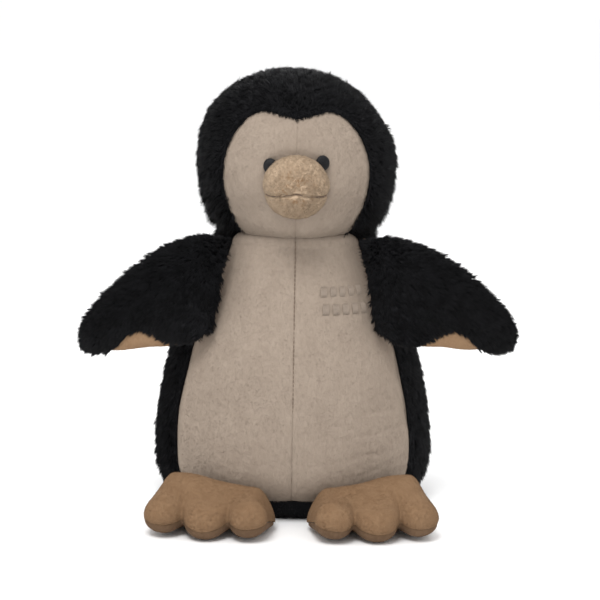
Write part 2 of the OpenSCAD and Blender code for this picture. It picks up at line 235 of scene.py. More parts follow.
def shell(name, outer, inner):
    """A closed piece of cloth: the grid outer, the grid inner behind it, and walls round the edge."""
    rows, cols = outer.shape[:2]
    index = np.arange(rows * cols).reshape(rows, cols)
    back = rows * cols
    front = np.stack([index[:-1, :-1], index[:-1, 1:], index[1:, 1:], index[1:, :-1]], -1).reshape(-1, 4)
    rim = np.concatenate([index[0, :], index[1:, -1], index[-1, -2::-1], index[-2:0:-1, 0]])
    following = np.roll(rim, -1)
    walls = np.stack([following, rim, rim + back, following + back], -1)
    quads = np.concatenate([front, front[:, ::-1] + back, walls])
    r, c = rows // 2, cols // 2
    facing = np.cross(outer[r, c + 1] - outer[r, c], outer[r + 1, c] - outer[r, c])
    if facing @ (outer[r, c] - inner[r, c]) < 0:
        quads = quads[:, ::-1]
    down, across = lattice(np.linspace(0, 1, rows), np.linspace(0, 1, cols))
    front_uv = np.stack([0.04 + 0.92 * across, 0.53 + 0.44 * down], -1).reshape(-1, 2)
    back_uv = front_uv - [0, 0.5]
    vert_uv = np.concatenate([front_uv, back_uv])
    uvs = vert_uv[quads]
    wall = quads[2 * len(front):]
    place = front_uv[wall % back]
    outward = (place - [0.5, 0.75]) * 0.02
    uvs[2 * len(front):] = place + outward * (wall >= back)[..., None]
    verts = np.concatenate([outer.reshape(-1, 3), inner.reshape(-1, 3)])
    return mesh_object(name, verts, quads, np.zeros((0, 3), int), uvs.reshape(-1, 2))


def ring_solid(name, grid):
    """A closed solid through rings of points, one ring to a row, closed by a point at each end."""
    rows, cols = grid.shape[:2]
    index = np.arange(rows * cols).reshape(rows, cols)
    following = np.roll(index, -1, axis=1)
    quads = np.stack([index[:-1], following[:-1], following[1:], index[1:]], -1).reshape(-1, 4)
    first, last = rows * cols, rows * cols + 1
    tris = np.concatenate([np.stack([following[0], index[0], 0 * index[0] + first], -1),
                           np.stack([index[-1], following[-1], 0 * index[0] + last], -1)])
    verts = np.concatenate([grid.reshape(-1, 3), grid[:1].mean(1), grid[-1:].mean(1)])
    centre = verts.mean(0)
    corner = quads[(rows // 2) * cols]
    facing = np.cross(verts[corner[1]] - verts[corner[0]], verts[corner[3]] - verts[corner[0]])
    if facing @ (verts[corner[0]] - centre) < 0:
        quads, tris = quads[:, ::-1], tris[:, ::-1]
    down, across = lattice(np.linspace(0.1, 0.9, rows), np.linspace(0.02, 0.98, cols))
    places = np.concatenate([np.stack([across, down], -1).reshape(-1, 2), [[0.5, 0.02], [0.5, 0.98]]])
    loops = np.concatenate([quads.ravel(), tris.ravel()])
    return mesh_object(name, verts, quads, tris, places[loops])


def tubes(name, paths, radii, normals, sides, tint=None):
    """Closed tubes that taper to a point at both ends. paths holds the points of each one, radii the
    thickness at the points between its two ends, and normals the way its flat side faces."""
    count, points = paths.shape[:2]
    rings = points - 2
    along = unit(paths[:, 2:] - paths[:, :-2])
    side = unit(np.cross(along, normals[:, None]))
    up = np.cross(along, side)
    turn = np.arange(sides) * 360 / sides
    spoke = side[:, :, None] * cos(turn)[:, None] + up[:, :, None] * sin(turn)[:, None]
    ring = paths[:, 1:-1, None] + spoke * radii[:, :, None, None]
    verts = np.concatenate([paths[:, :1], ring.reshape(count, rings * sides, 3), paths[:, -1:]], 1)
    k = np.arange(sides)
    k_next = (k + 1) % sides
    last = 1 + (rings - 1) * sides
    bands = [np.stack([b + k, b + k_next, b + sides + k_next, b + sides + k], -1)
             for b in 1 + np.arange(rings - 1) * sides]
    bands = np.concatenate(bands + [np.zeros((0, 4), int)])
    caps = np.concatenate([np.stack([0 * k, 1 + k_next, 1 + k], -1),
                           np.stack([0 * k + last + sides, last + k, last + k_next], -1)])
    offset = (np.arange(count) * (rings * sides + 2))[:, None, None]
    quads = (bands[None] + offset).reshape(-1, 4)
    tris = (caps[None] + offset).reshape(-1, 3)
    uvs = strand_uvs(count, caps) if rings == 1 else tube_uvs(count, rings, sides)
    if tint is not None:
        tint = np.repeat(tint, rings * sides + 2)
    return mesh_object(name, verts.reshape(-1, 3), quads, tris, uvs, tint)


def uv_cells(count):
    """The lower left corners of count equal squares, and their size."""
    across = math.ceil(math.sqrt(count))
    return np.stack([np.arange(count) % across, np.arange(count) // across], 1) / across, 1 / across


def strand_uvs(count, faces):
    """A strand's three sides fill a triangle in a small square of its own, round its tip."""
    corner, cell = uv_cells(count)
    corners = np.array([[0.5, 0.02], [0.08, 0.08], [0.92, 0.08], [0.5, 0.92], [0.5, 0.36]])
    return (corners[faces][None] * cell + corner[:, None, None]).reshape(-1, 2)


def tube_uvs(count, rings, sides):
    """Each tube is unrolled into a small square of its own."""
    corner, cell = uv_cells(count)
    k = np.arange(sides)
    left = 0.06 + 0.88 * k / sides
    right = left + 0.88 / sides
    middle = (left + right) / 2
    level = 0.06 + 0.88 * np.arange(rings + 2) / (rings + 1)

    def row(xs, ys):
        return np.stack([np.stack([x, 0 * x + y], -1) for x, y in zip(xs, ys)], 1)

    quads = np.concatenate([row((left, right, right, left), (y, y, y_next, y_next))
                            for y, y_next in zip(level[1:-2], level[2:-1])])
    tris = np.concatenate([row((middle, right, left), (level[0], level[1], level[1])),
                           row((middle, left, right), (level[-1], level[-2], level[-2]))])
    quads = quads[None] * cell + corner[:, None, None]
    tris = tris[None] * cell + corner[:, None, None]
    return np.concatenate([quads.reshape(-1, 2), tris.reshape(-1, 2)])


# ---- Pile -----------------------------------------------------------------------------------------

# No strand goes nearer the ground than this
PILE_FLOOR = 0.4 * MM
LONG_PILE_WIDTH = 0.5 * MM
# Degrees that short pile stands up from its cloth
NAP_LIFT = 45
# Strands on a big panel, and on the skirt of the base
LONG_PILE_COUNT = 33000
BASE_PILE_COUNT = 15000


def scatter(grid, normals, count, rng, weight=None):
    """count places spread over a grid's surface: their points, normals, and row and column shares.
    weight makes some of the grid's places more likely than others."""
    area = np.linalg.norm(np.cross(grid[1:, 1:] - grid[:-1, :-1], grid[1:, :-1] - grid[:-1, 1:]), axis=-1)
    if weight is not None:
        area = area * weight[:-1, :-1]
    cell = rng.choice(area.size, size=count, p=area.ravel() / area.sum())
    i, j = np.unravel_index(cell, area.shape)
    down = rng.random(count)
    across = rng.random(count)
    u = down[:, None]
    v = across[:, None]

    def at(g):
        return ((g[i, j] * (1 - v) + g[i, j + 1] * v) * (1 - u)
                + (g[i + 1, j] * (1 - v) + g[i + 1, j + 1] * v) * u)

    rows, cols = area.shape
    return at(grid), unit(at(normals)), (i + down) / rows, (j + across) / cols


def tufts(points, size, rng):
    """The number of the tuft that each point belongs to, and which point is each tuft's middle."""
    middles = rng.choice(len(points), size=max(1, len(points) // size), replace=False)
    tree = KDTree(len(middles))
    for number, place in enumerate(middles):
        tree.insert(points[place], number)
    tree.balance()
    return np.array([tree.find(point)[1] for point in points]), middles


def pile(name, roots, normals, comb, length, width, lift, rng,
         tuft=14, gather=0.4, scatter_angle=0.25, droop=0.25, sunk=0.7 * MM, uneven=1.0):
    """Tapered, curved strands of pile in tufts. comb is the way each one lies, lift how far it stands
    up from the cloth in degrees, gather how closely the tips of a tuft draw together, sunk how deep the
    roots are, and uneven how much the tufts differ."""
    count = len(roots)
    group, middles = tufts(roots, tuft, rng)
    swing = rng.normal(0, scatter_angle, (len(middles), 3))
    rise = rng.normal(0, 28 * scatter_angle, len(middles))
    stretch = 1 + 0.2 * uneven * rng.uniform(-1, 1, len(middles))
    lean = comb + swing[group] + rng.normal(0, scatter_angle * 0.6, (count, 3))
    lean = unit(lean - normals * dot(lean, normals)[:, None])
    angle = np.clip(lift + rise[group] + rng.normal(0, 24 * scatter_angle, count), 4, 88)
    length = length * stretch[group] * rng.uniform(0.75, 1.15, count)
    start = lean * cos(angle)[:, None] + normals * sin(angle)[:, None]
    finish = unit(start * 0.75 + lean * 0.35 + np.array([0, 0, -droop]))
    base = roots - normals * sunk
    knee = base + start * (length * 0.5)[:, None]
    tip = knee + finish * (length * 0.5)[:, None]
    shared_tip = tip[middles][group]
    near = smooth_step(np.linalg.norm(shared_tip - tip, axis=1), 9 * MM, 4 * MM)[:, None]
    tip = tip + (shared_tip - tip) * gather * near
    bend = base * 0.36 + knee * 0.48 + tip * 0.16
    paths = np.stack([base, bend, tip], 1)
    paths[..., 2] = np.maximum(paths[..., 2], PILE_FLOOR + width / 2)
    radii = (width / 2 * rng.uniform(0.8, 1.2, count))[:, None]
    shade = 0.5 * uneven
    tint = rng.random(len(middles))[group] * shade + rng.random(count) * (1 - shade)
    return tubes(name, paths, radii, normals, 3, tint)


def black_pile(name, roots, facing, comb, length, lift, rng, body, material, **style):
    """Long black pile, dressed, on the cloth of a body or across a root."""
    fur = pile(name, roots, facing, comb, length, LONG_PILE_WIDTH, lift, rng, **style)
    return dress(fur, material["black_fur"], "black_pile", body)


def short_nap(name, grid, normals, count, comb, length, width, rng, weight=None):
    """Short, even pile all over a piece of cloth, with little more than its tips above the surface.
    comb takes the places and their normals, and gives the way that each strand lies."""
    roots, facing, _, _ = scatter(grid, normals, count, rng, weight)
    return pile(name, roots, facing, comb(roots, facing), length, width, NAP_LIFT, rng,
                tuft=12, gather=0, scatter_angle=0.10, droop=0.02, sunk=0.45 * MM, uneven=0.1)


# ---- Materials ------------------------------------------------------------------------------------

def new_material(name, roughness, specular=0.3):
    """A material with one Principled shader; returns it with its node tree and that shader."""
    material = bpy.data.materials.new(name)
    material.use_nodes = True
    tree = material.node_tree
    shader = tree.nodes["Principled BSDF"]
    shader.inputs["Roughness"].default_value = roughness
    shader.inputs["Specular IOR Level"].default_value = specular
    return material, tree, shader


def set_sheen(shader, weight, roughness, tint):
    shader.inputs["Sheen Weight"].default_value = weight
    shader.inputs["Sheen Roughness"].default_value = roughness
    shader.inputs["Sheen Tint"].default_value = (*tint, 1)


def stretched_place(tree, stretch):
    """The place on the object, squeezed along each axis so that patterns lie along the nap."""
    place = tree.nodes.new("ShaderNodeTexCoord")
    mapping = tree.nodes.new("ShaderNodeMapping")
    mapping.inputs["Scale"].default_value = stretch
    tree.links.new(place.outputs["Object"], mapping.inputs["Vector"])
    return mapping.outputs["Vector"]


def noise_node(tree, place, size, detail=3, roughness=0.6):
    """Noise whose features are about size metres wide."""
    node = tree.nodes.new("ShaderNodeTexNoise")
    node.inputs["Scale"].default_value = 1 / size
    node.inputs["Detail"].default_value = detail
    node.inputs["Roughness"].default_value = roughness
    tree.links.new(place, node.inputs["Vector"])
    return node.outputs["Fac"]


def mixed(tree, factor, first, second):
    """A colour that goes from first to second; both may be colours or sockets."""
    node = tree.nodes.new("ShaderNodeMix")
    node.data_type = "RGBA"
    tree.links.new(factor, node.inputs["Factor"])
    for socket, value in ((node.inputs[6], first), (node.inputs[7], second)):
        if isinstance(value, bpy.types.NodeSocket):
            tree.links.new(value, socket)
        else:
            socket.default_value = (*value, 1)
    return node.outputs[2]


def ranged(tree, value, start, end, low_out=0.0, high_out=1.0):
    """value stretched so that start to end becomes low_out to high_out."""
    node = tree.nodes.new("ShaderNodeMapRange")
    node.interpolation_type = "SMOOTHSTEP"
    tree.links.new(value, node.inputs["Value"])
    node.inputs["From Min"].default_value = start
    node.inputs["From Max"].default_value = end
    node.inputs["To Min"].default_value = low_out
    node.inputs["To Max"].default_value = high_out
    return node.outputs["Result"]


def calculated(tree, operation, first, second):
    node = tree.nodes.new("ShaderNodeMath")
    node.operation = operation
    for socket, value in zip(node.inputs, (first, second)):
        if isinstance(value, bpy.types.NodeSocket):
            tree.links.new(value, socket)
        else:
            socket.default_value = value
    return node.outputs[0]


def add_bump(tree, shader, height, distance, strength):
    node = tree.nodes.new("ShaderNodeBump")
    node.inputs["Distance"].default_value = distance
    node.inputs["Strength"].default_value = strength
    tree.links.new(height, node.inputs["Height"])
    tree.links.new(node.outputs["Normal"], shader.inputs["Normal"])


def short_pile(name, dark, light, fleck=None):
    """Short, soft pile: its nap makes long, uneven patches, and its fibres a fine grain."""
    material, tree, shader = new_material(name, 0.9, 0.1)
    along_nap = stretched_place(tree, (1, 1, 0.5))
    patches = noise_node(tree, along_nap, 11 * MM, 3)
    nap = noise_node(tree, along_nap, 2.2 * MM, 4, 0.65)
    fibres = noise_node(tree, stretched_place(tree, (1, 1, 0.35)), 0.5 * MM, 2)
    soft = calculated(tree, "MULTIPLY_ADD", patches, 0.5)
    tree.links.new(calculated(tree, "MULTIPLY", nap, 0.5), soft.node.inputs[2])
    tone = calculated(tree, "MULTIPLY_ADD", fibres, 0.35)
    tree.links.new(soft, tone.node.inputs[2])
    colour = mixed(tree, ranged(tree, tone, 0.42, 0.95), dark, light)
    if fleck is not None:
        specks = noise_node(tree, along_nap, 1.6 * MM, 4, 0.7)
        colour = mixed(tree, ranged(tree, specks, 0.62, 0.78, 0, 0.4), colour, fleck)
    tree.links.new(colour, shader.inputs["Base Color"])
    height = calculated(tree, "MULTIPLY_ADD", fibres, 0.5)
    tree.links.new(nap, height.node.inputs[2])
    add_bump(tree, shader, height, 0.5 * MM, 0.5)
    return material


def strand_material(name, root, tip, patch, roughness=0.8, specular=0.08, fleck=None):
    """Fibres of pile: each tuft has its own shade between root and tip, in patches about patch wide.
    fleck is a second colour, the place it spreads from and how far it reaches."""
    material, tree, shader = new_material(name, roughness, specular)
    tint = tree.nodes.new("ShaderNodeAttribute")
    tint.attribute_name = "tint"
    place = stretched_place(tree, (1, 1, 1))
    patches = noise_node(tree, place, patch, 3)
    shade = calculated(tree, "MULTIPLY_ADD", tint.outputs["Fac"], 0.45)
    tree.links.new(patches, shade.node.inputs[2])
    colour = mixed(tree, ranged(tree, shade, 0.40, 1.0), root, tip)
    if fleck is not None:
        brown, centre, reach = fleck
        away = tree.nodes.new("ShaderNodeVectorMath")
        away.operation = "DISTANCE"
        away.inputs[1].default_value = centre
        tree.links.new(place, away.inputs[0])
        near = ranged(tree, away.outputs["Value"], reach, reach * 0.45)
        specks = noise_node(tree, place, 3.2 * MM, 3, 0.6)
        browned = calculated(tree, "MULTIPLY", ranged(tree, specks, 0.50, 0.66, 0, 0.75), near)
        colour = mixed(tree, browned, colour, brown)
    tree.links.new(colour, shader.inputs["Base Color"])
    return material


def thread_material(name, dark, light, pitch, sheen=0.2):
    """Embroidery thread: fine twisted plies, shiny along their length."""
    material, tree, shader = new_material(name, 0.5, 0.25)
    if sheen:
        set_sheen(shader, sheen, 0.3, light)
    place = stretched_place(tree, (1, 1, 1))
    wave = tree.nodes.new("ShaderNodeTexWave")
    wave.bands_direction = "DIAGONAL"
    wave.inputs["Scale"].default_value = 1 / (pitch * 3.2)
    wave.inputs["Distortion"].default_value = 1.5
    tree.links.new(place, wave.inputs["Vector"])
    worn = noise_node(tree, place, 1.5 * MM, 3)
    tone = calculated(tree, "MULTIPLY", wave.outputs["Fac"], worn)
    tree.links.new(mixed(tree, ranged(tree, tone, 0.05, 0.6), dark, light), shader.inputs["Base Color"])
    add_bump(tree, shader, wave.outputs["Fac"], 0.15 * MM, 0.6)
    return material


def woven_material(name, dark, light, pitch):
    """Plain woven cloth or wadding for what is inside."""
    material, tree, shader = new_material(name, 0.85, 0.2)
    set_sheen(shader, 0.2, 0.5, light)
    place = stretched_place(tree, (1, 1, 1))
    tufted = noise_node(tree, place, pitch, 5, 0.7)
    tree.links.new(mixed(tree, ranged(tree, tufted, 0.3, 0.7), dark, light), shader.inputs["Base Color"])
    add_bump(tree, shader, tufted, 1.0 * MM, 0.8)
    return material


def make_materials():
    beak_middle = BEAK_CENTRE + [0, -BEAK_R, 0]
    beak_fleck = ((0.31, 0.18, 0.085), tuple(beak_middle), 17 * MM)
    cream_dark, cream_light = (0.257, 0.206, 0.164), (0.310, 0.253, 0.203)
    return {
        "black_cloth": short_pile("black_cloth", (0.003, 0.003, 0.0035), (0.007, 0.007, 0.008)),
        "black_fur": strand_material("black_fur", (0.0035, 0.0035, 0.004), (0.011, 0.011, 0.0125), 9 * MM,
                                     0.6, 0.12),
        "cream": short_pile("cream", cream_dark, cream_light),
        "cream_fur": strand_material("cream_fur", cream_dark, cream_light, 8 * MM),
        # The wings' undersides and the feet are one tan cloth. The undersides' copy is painted lighter than
        # the feet's: painted light against the shade that falls under the wings
        "tan": short_pile("tan", (0.25, 0.152, 0.084), (0.31, 0.20, 0.118)),
        "tan_fur": strand_material("tan_fur", (0.255, 0.157, 0.088), (0.35, 0.23, 0.14), 9 * MM),
        "foot": short_pile("foot", (0.192, 0.113, 0.061), (0.238, 0.149, 0.085)),
        "foot_fur": strand_material("foot_fur", (0.198, 0.118, 0.064), (0.272, 0.174, 0.103), 9 * MM),
        "sole": short_pile("sole", (0.10, 0.06, 0.035), (0.16, 0.10, 0.06)),
        "beak": short_pile("beak", (0.36, 0.263, 0.178), (0.43, 0.322, 0.226), (0.30, 0.19, 0.105)),
        "beak_fur": strand_material("beak_fur", (0.365, 0.270, 0.184), (0.475, 0.360, 0.255), 7 * MM,
                                    fleck=beak_fleck),
        "seam": thread_material("seam", (0.14, 0.095, 0.066), (0.20, 0.145, 0.105), 0.4 * MM),
        "tonal": thread_material("tonal", (0.253, 0.203, 0.162), (0.315, 0.260, 0.212), 0.4 * MM),
        "eye": thread_material("eye", (0.003, 0.003, 0.004), (0.008, 0.008, 0.010), 0.4 * MM, 0),
        "stuffing": woven_material("stuffing", (0.62, 0.62, 0.60), (0.86, 0.86, 0.84), 4 * MM),
        "pouch": woven_material("pouch", (0.40, 0.34, 0.26), (0.56, 0.49, 0.39), 1.2 * MM),
    }


def dress(obj, material, slot, body, *replaced, fill=None):
    """Give a finished piece its material, hang it on the body it rides on (a piece across a root is not
    hung and keeps its place), and hide the parts that it stands for. slot is not used.
    """
    obj.data.materials.append(material)
    if isinstance(body, str):
        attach(obj, body)
    else:
        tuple(body[2])
        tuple(body[3])
        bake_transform(obj)
    if replaced:
        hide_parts(*replaced)
    return obj


# ---- Torso ----------------------------------------------------------------------------------------

# The torso's cloth leaves its outline at level ROLL_START, and rolls in to the neck up to ROLL_END
ROLL_START = 0.965
ROLL_END = 1.06
ROLL_TOP = 190.0 * MM
ROLL_GAP = 1.2 * MM
SHEET = 1.8 * MM
GROUND_GAP = 0.3 * MM
TORSO_CENTRE = np.array([0, 0, 0.09])


def torso_outline(h, a):
    q = curve(TORSO_PROFILE, h)
    reach = np.where(cos(a) > 0, BELLY_REACH * q[..., 1], BACK_REACH * q[..., 2])
    return np.stack([HALF_WIDTH * q[..., 0] * sin(a), -reach * cos(a), NECK_HEIGHT * h], -1)


def torso_point(level, a):
    """Place on the torso at a level from 0, the floor, to ROLL_END, under the chin, and at an angle
    from straight ahead towards +X."""
    base = torso_outline(np.minimum(level, ROLL_START), a)
    t = np.clip((level - ROLL_START) / (ROLL_END - ROLL_START), 0, 1) * 90
    neck_r = math.sqrt(HEAD_R ** 2 - (HEAD_CENTRE[2] - ROLL_TOP) ** 2) + ROLL_GAP
    end = np.stack([neck_r * sin(a), HEAD_CENTRE[1] - neck_r * cos(a)], -1)
    xy = base[..., :2] + (end - base[..., :2]) * (1 - cos(t))[..., None]
    z = base[..., 2] + (ROLL_TOP - NECK_HEIGHT * ROLL_START) * sin(t)
    return np.concatenate([xy, z[..., None]], -1)


def seam_angle(level):
    return curve(SIDE_SEAM, np.minimum(level, 1))[..., 0]


def sagged(grid, normals, seed, extra):
    """A grid of cloth with soft lumps in it, moved out further by extra."""
    return grid + normals * (lumps(grid, seed) + extra)[..., None]


def belly_panel(side_name, material):
    side = SIDES[side_name]
    level, share = lattice(np.linspace(PANEL_FOOT - 0.01, ROLL_END, 200), np.linspace(0, 1, 100))
    a = side * share * (seam_angle(level) + 1.2)
    grid = torso_point(level, a)
    normals = grid_normals(grid, TORSO_CENTRE)
    from_middle = np.abs(grid[..., 0])
    from_seam = from_column(grid, -1)
    groove = -0.4 * MM * bell(from_middle, 1.2 * MM) - 0.5 * MM * bell(from_middle, 5 * MM)
    tucked = -1.8 * MM * bell(from_seam, 3 * MM)
    paunch = 3.0 * MM * bell(grid[..., 2] - 28 * MM, 22 * MM) * bell(from_middle, 75 * MM)
    under = -3.0 * MM * bell(level - PANEL_FOOT + 0.01, 0.025)
    creases = belly_creases(grid) if side > 0 else 0
    outer = sagged(grid, normals, 11, groove + tucked + paunch + under + creases)
    obj = shell(f"belly_{side_name}_cloth", outer, grid - normals * SHEET)
    dress(obj, material["cream"], "cream_pile", "torso", f"belly_{side_name}", fill=0.85)
    rng = np.random.default_rng(15 + side)

    def comb(roots, facing):
        across = 0.5 * noise(roots, 18 * MM, 17) + 0.3 * noise(roots * [0.4, 1, 1.4], 7 * MM, 18)
        return np.stack([across, 0 * across, -1 + 0.3 * noise(roots, 12 * MM, 19)], 1)

    fur = short_nap(f"belly_{side_name}_nap", outer, normals, 32000, comb, 1.3 * MM, 0.22 * MM, rng)
    return dress(fur, material["cream_fur"], "cream_pile", "torso")


# Height, slope and depth in millimetres of each faint fold in the belly
BELLY_CREASES = ((0.072, 0.10, 0.2), (0.058, 0.16, 0.28), (0.044, 0.10, 0.25), (0.033, 0.2, 0.2))


def belly_creases(grid):
    """Faint folds low on the toy's left side of the belly."""
    depth = np.zeros(grid.shape[:-1])
    for z, slope, size in BELLY_CREASES:
        line = grid[..., 2] - z - slope * (grid[..., 0] - 0.04) - 1.2 * MM * noise(grid, 9 * MM, 5)
        depth -= size * MM * bell(line, 2.0 * MM) * bell(grid[..., 0] - 0.052, 24 * MM)
    return depth


def back_grid(side, rows, cols):
    level, share = lattice(np.linspace(PANEL_FOOT - 0.01, 1.05, rows), np.linspace(0, 1, cols))
    a = side * (seam_angle(level) + 0.6 + share * (180 - seam_angle(level) - 0.6))
    grid = torso_point(level, a)
    return grid, grid_normals(grid, TORSO_CENTRE)


def back_panel(side_name, material):
    side = SIDES[side_name]
    grid, normals = back_grid(side, 90, 80)
    from_middle = np.abs(grid[..., 0])
    spine = np.where(grid[..., 1] > 0, -1.2 * MM * bell(from_middle, 2 * MM), 0)
    outer = sagged(grid, normals, 21, spine)
    obj = shell(f"back_{side_name}_cloth", outer, grid - normals * SHEET)
    dress(obj, material["black_cloth"], "black_base", "torso", f"back_{side_name}", fill=0.85)
    rng = np.random.default_rng(31 + side)
    roots, facing, _, across = scatter(outer, normals, LONG_PILE_COUNT, rng)
    near_seam = smooth_step(across, 0.07, 0.0)
    shoulder = smooth_step(roots[:, 2], 0.160, 0.180)
    forward = np.stack([0 * across, -np.ones_like(across), 0 * across], 1)
    comb = np.array([0, 0, -1.0]) + forward * (0.7 * near_seam)[:, None]
    length = 8.5 * MM * (1 - 0.25 * near_seam + 0.15 * shoulder)
    lift = 36 - 8 * near_seam + 16 * shoulder
    return black_pile(f"back_{side_name}_fur", roots, facing, comb, length, lift, rng, "torso", material,
                      tuft=12, gather=0.35, uneven=0.7)


def base_shell(material):
    """The flat base and the skirt that rises to the panels."""
    level, a = lattice(np.linspace(0, PANEL_FOOT, 14), np.linspace(-180, 180, 241))
    rim = torso_point(level, a)
    rounding = 1 - 0.05 * smooth_step(level, 0.03, 0)
    rim[..., :2] *= rounding[..., None]
    rim[..., 2] = np.maximum(rim[..., 2], GROUND_GAP)
    inward = np.linspace(0.02, 0.97, 30)[:, None, None]
    floor = rim[0] * inward
    floor[..., 2] = GROUND_GAP
    grid = np.concatenate([floor, rim])
    inner = grid * 0.985
    thinning = np.concatenate([np.full(len(floor), 1), np.linspace(1, 0, len(rim))])[:, None]
    inner[..., 2] = grid[..., 2] + thinning * SHEET
    obj = shell("base_cloth", grid, inner)
    dress(obj, material["black_cloth"], "black_base", "torso", "base_panel", fill=0.85)
    rng = np.random.default_rng(37)
    normals = grid_normals(rim, TORSO_CENTRE)
    roots, facing, _, _ = scatter(rim, normals, BASE_PILE_COUNT, rng)
    comb = np.array([0, 0, -1.0]) + facing * 0.2
    front = smooth_step(facing[:, 1], -0.55, -0.8)
    length = 7 * MM - 4.2 * MM * front
    return black_pile("base_fur", roots, facing, comb, length, 28 - 12 * front, rng, "torso", material)


def capsules(name, starts, ends, normals, thickness, arch, sides=8):
    """Threads from starts to ends that arch away from the cloth and dive into it at both ends."""
    share = np.array([0, 0.06, 0.25, 0.5, 0.75, 0.94, 1])
    radius = np.array([0.6, 0.95, 1.0, 0.95, 0.6]) * thickness / 2
    height = (np.sin(share * np.pi) - 0.35) * arch
    paths = (starts[:, None] + (ends - starts)[:, None] * share[:, None]
             + normals[:, None] * height[:, None])
    return tubes(name, paths, np.tile(radius, (len(starts), 1)), normals, sides)


def belly_thread(material):
    """Stitches down the groove of the belly's middle seam."""
    levels = np.linspace(PANEL_FOOT + 0.01, 1.0, 62)
    middle, normals = torso_strip(levels)
    sunk = middle - normals * 0.45 * MM
    starts = sunk[:-1]
    ends = sunk[:-1] + (sunk[1:] - sunk[:-1]) * 0.82
    obj = capsules("belly_seam_stitches", starts, ends, normals[:-1], 0.5 * MM, 0.3 * MM)
    return dress(obj, material["seam"], "seam_thread", "torso", "belly_seam_thread")


def torso_strip(levels):
    """The middle of the belly at each level, and the normals there."""
    level, a = lattice(levels, np.array([-1.0, 0, 1.0]))
    grid = torso_point(level, a)
    return grid[:, 1], grid_normals(grid, TORSO_CENTRE)[:, 1]


# Levels of the two rows of bars, the height of a bar, and the angles from bar to bar and thread to thread
BAR_LEVELS = (0.735, 0.795)
BAR_HEIGHT = 0.04
BAR_START = 15.5
BAR_PITCH = 6.0
THREAD_PITCH = 0.62


def chest_stitches(material):
    """Two rows of plain satin-stitch bars, in the cloth's own colour."""
    starts, ends, facing = [], [], []
    for level in BAR_LEVELS:
        levels = np.array([level, level + BAR_HEIGHT])
        for bar in range(5):
            for thread in range(6):
                a = BAR_START + bar * BAR_PITCH + thread * THREAD_PITCH
                corners = torso_point(levels, np.array([a, a + 0.9]))
                strip_level, strip_a = lattice(levels, np.array([a - 1, a, a + 1]))
                normal = grid_normals(torso_point(strip_level, strip_a), TORSO_CENTRE)[0, 1]
                starts.append(corners[0] + normal * 0.5 * MM)
                ends.append(corners[1] + normal * 0.5 * MM)
                facing.append(normal)
    obj = capsules("chest_stitches", np.array(starts), np.array(ends), np.array(facing), 0.8 * MM, 1.3 * MM)
    return dress(obj, material["tonal"], "tonal_embroidery", "torso", "chest_stitching")


# ---- Head -----------------------------------------------------------------------------------------

def ball_dir(q):
    y = -np.sqrt(np.maximum(0, 1 - q[..., 0] ** 2 - q[..., 1] ** 2))
    return np.stack([q[..., 0], y, q[..., 1]], -1)


def head_point(d, out=0.0):
    radii = np.array([HEAD_HALF_WIDTH, HEAD_R, HEAD_R])
    return HEAD_CENTRE + (radii + np.asarray(out)[..., None]) * d


def arc_between(a, b, f):
    angle = np.arccos(np.clip(dot(a, b), -1, 1))[..., None]
    f = f[..., None]
    return (a * np.sin((1 - f) * angle) + b * np.sin(f * angle)) / np.maximum(np.sin(angle), 1e-9)


def face_dir(s, t):
    """Half of the face: s runs from the middle to the cheek, t from the chin to the brow. Below 0, t
    follows the ball down under the chin."""
    up = np.clip(t, 0, 1)[..., None]
    side = s[..., None]
    peak, corner, chin = BROW_EDGE[0], BROW_EDGE[-1], CHEEK_EDGE[0]
    low_middle = np.array([0, CHIN_LOW])
    across = np.array([chin[0], 0]) * side + low_middle
    rows = across * (1 - up) + curve(BROW_EDGE, s) * up
    middle = low_middle + (peak - low_middle) * up
    cols = middle * (1 - side) + curve(CHEEK_EDGE, np.clip(t, 0, 1)) * side
    corners = (low_middle * (1 - side) + chin * side) * (1 - up) + (peak * (1 - side) + corner * side) * up
    q = rows + cols - corners
    below = np.minimum(t, 0)
    z = q[..., 1] + below * 1.2
    shrink = np.sqrt((1 - z ** 2) / (1 - q[..., 1] ** 2))
    x = q[..., 0] * np.where(below < 0, shrink, 1)
    return ball_dir(np.stack([x, z], -1))


HOOD_EDGE = np.concatenate([CHEEK_EDGE, BROW_EDGE[2::-1]])
EAR_TURN = 112
CROWN_TURN = 150
NAPE_SHARE = 0.4


def neck_dir(turn, z=CHIN_LOW):
    r = np.sqrt(1 - z * z)
    return np.stack([r * sin(turn), -r * cos(turn), z + 0 * turn], -1)


def hood_dir(s, w):
    """Half of the hood: s runs from the face's edge to the hood's back edge, w from below up to the
    peak of the brow."""
    round_neck = neck_dir(EAR_TURN + (180 - EAR_TURN) * np.minimum(w / NAPE_SHARE, 1))
    nape = 180 - math.degrees(math.asin(CHIN_LOW))
    angle = nape + (CROWN_TURN - nape) * (w - NAPE_SHARE) / (1 - NAPE_SHARE)
    up_middle = np.stack([0 * angle, -cos(angle), sin(angle)], -1)
    back = np.where((w < NAPE_SHARE)[..., None], round_neck, up_middle)
    return arc_between(ball_dir(curve(HOOD_EDGE, w)), back, s)


def eye_middle(side_name):
    return (low(f"eye_{side_name}") + high(f"eye_{side_name}")) / 2


